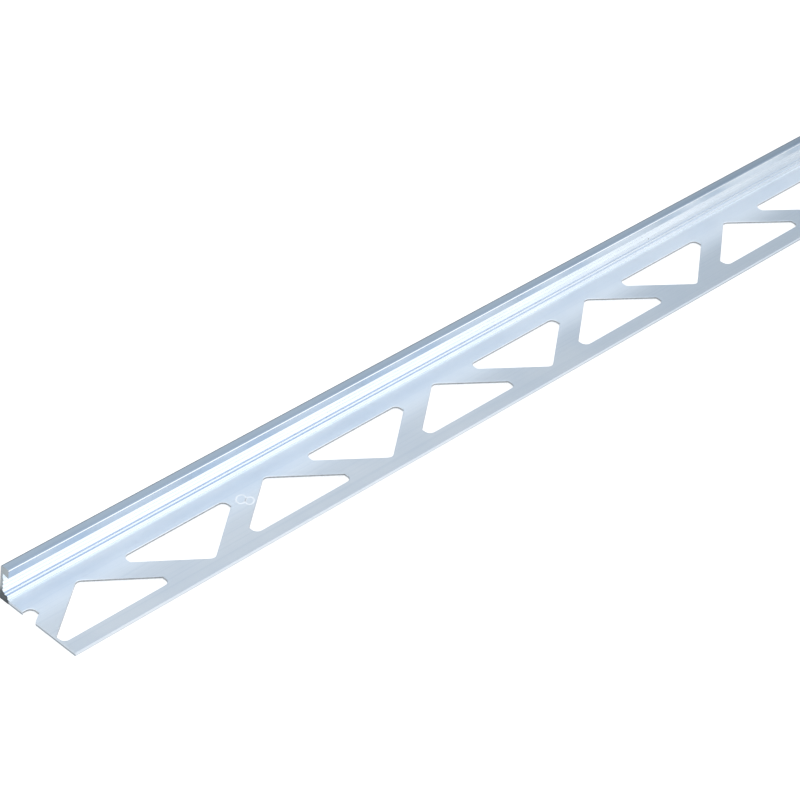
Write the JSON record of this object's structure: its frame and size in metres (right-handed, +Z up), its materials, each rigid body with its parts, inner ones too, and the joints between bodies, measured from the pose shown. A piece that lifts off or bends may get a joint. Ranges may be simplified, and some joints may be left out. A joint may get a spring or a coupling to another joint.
{
  "type": "tile edge trim",
  "caption": "Straight aluminium tile edge trim: thin flange punched with alternating triangles for adhesive, and a short ribbed leg with a hooked lip that covers the tile's edge.",
  "frame": {"origin": "middle of the length and of the flange's width, on the flat underside", "axes": "+X along the stock away from the end seen in the picture, +Y from the flange's free edge to the leg, +Z up the leg"},
  "size_m": [1, 0.022, 0.008],
  "materials": {
    "aluminium": "satin anodised"
  },
  "bodies": {
    "root": {"edge_trim": "aluminium"}
  },
  "joints": []
}
